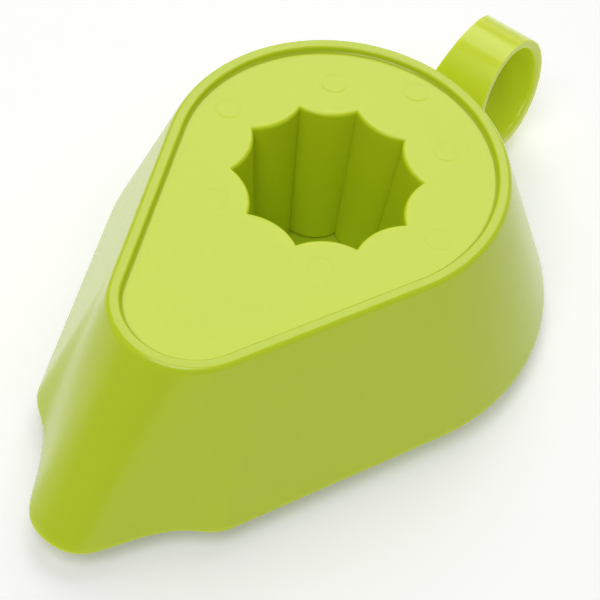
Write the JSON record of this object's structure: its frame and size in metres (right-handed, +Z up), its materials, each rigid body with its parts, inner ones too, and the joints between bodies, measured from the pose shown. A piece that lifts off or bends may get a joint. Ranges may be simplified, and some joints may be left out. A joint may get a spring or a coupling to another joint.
{
  "type": "wasp trap",
  "caption": "Teardrop hood with a pinched spout, a star-shaped bottle socket in its roof and a carrying ring, over a bait tray.",
  "frame": {"origin": "middle of the trap's bounding box, on the surface it stands on", "axes": "+X towards the spout, +Z up, the trap symmetric about the XZ plane"},
  "size_m": [0.1506, 0.091, 0.0385],
  "materials": {
    "lime_plastic": "glossy injection-moulded lime green",
    "lime_plate": "glossy injection-moulded lime green",
    "lime_ring": "glossy injection-moulded lime green",
    "tray_plastic": "satin injection-moulded lime green",
    "pad_rubber": "matte grey rubber",
    "trough_plastic": "natural polypropylene, satin",
    "sponge": "open-cell cellulose sponge",
    "lid_plastic": "satin lime green"
  },
  "bodies": {
    "tray": {"base_tray": "tray_plastic", "foot_pads": "pad_rubber"},
    "hood": {"hood_shell": "lime_plastic", "socket_plate": "lime_plate", "finger_ring": "lime_ring"},
    "bait": {"bait_trough": "trough_plastic", "bait_sponge": "sponge"},
    "lid": {"trough_lid": "lid_plastic"}
  },
  "joints": [
    {"name": "hood_lift", "type": "slide", "parent": "tray", "child": "hood", "axis": [0, 0, 1], "range_m": [0, 0.06]},
    {"name": "bait_lift", "type": "slide", "parent": "tray", "child": "bait", "axis": [0, 0, 1], "range_m": [0, 0.021]},
    {"name": "lid_lift", "type": "slide", "parent": "bait", "child": "lid", "axis": [0, 0, 1], "range_m": [0, 0.015]}
  ],
  "couplings": [
    {"joint": "bait_lift", "follows": "hood_lift", "ratio": 0.35},
    {"joint": "lid_lift", "follows": "hood_lift", "ratio": 0.25}
  ]
}
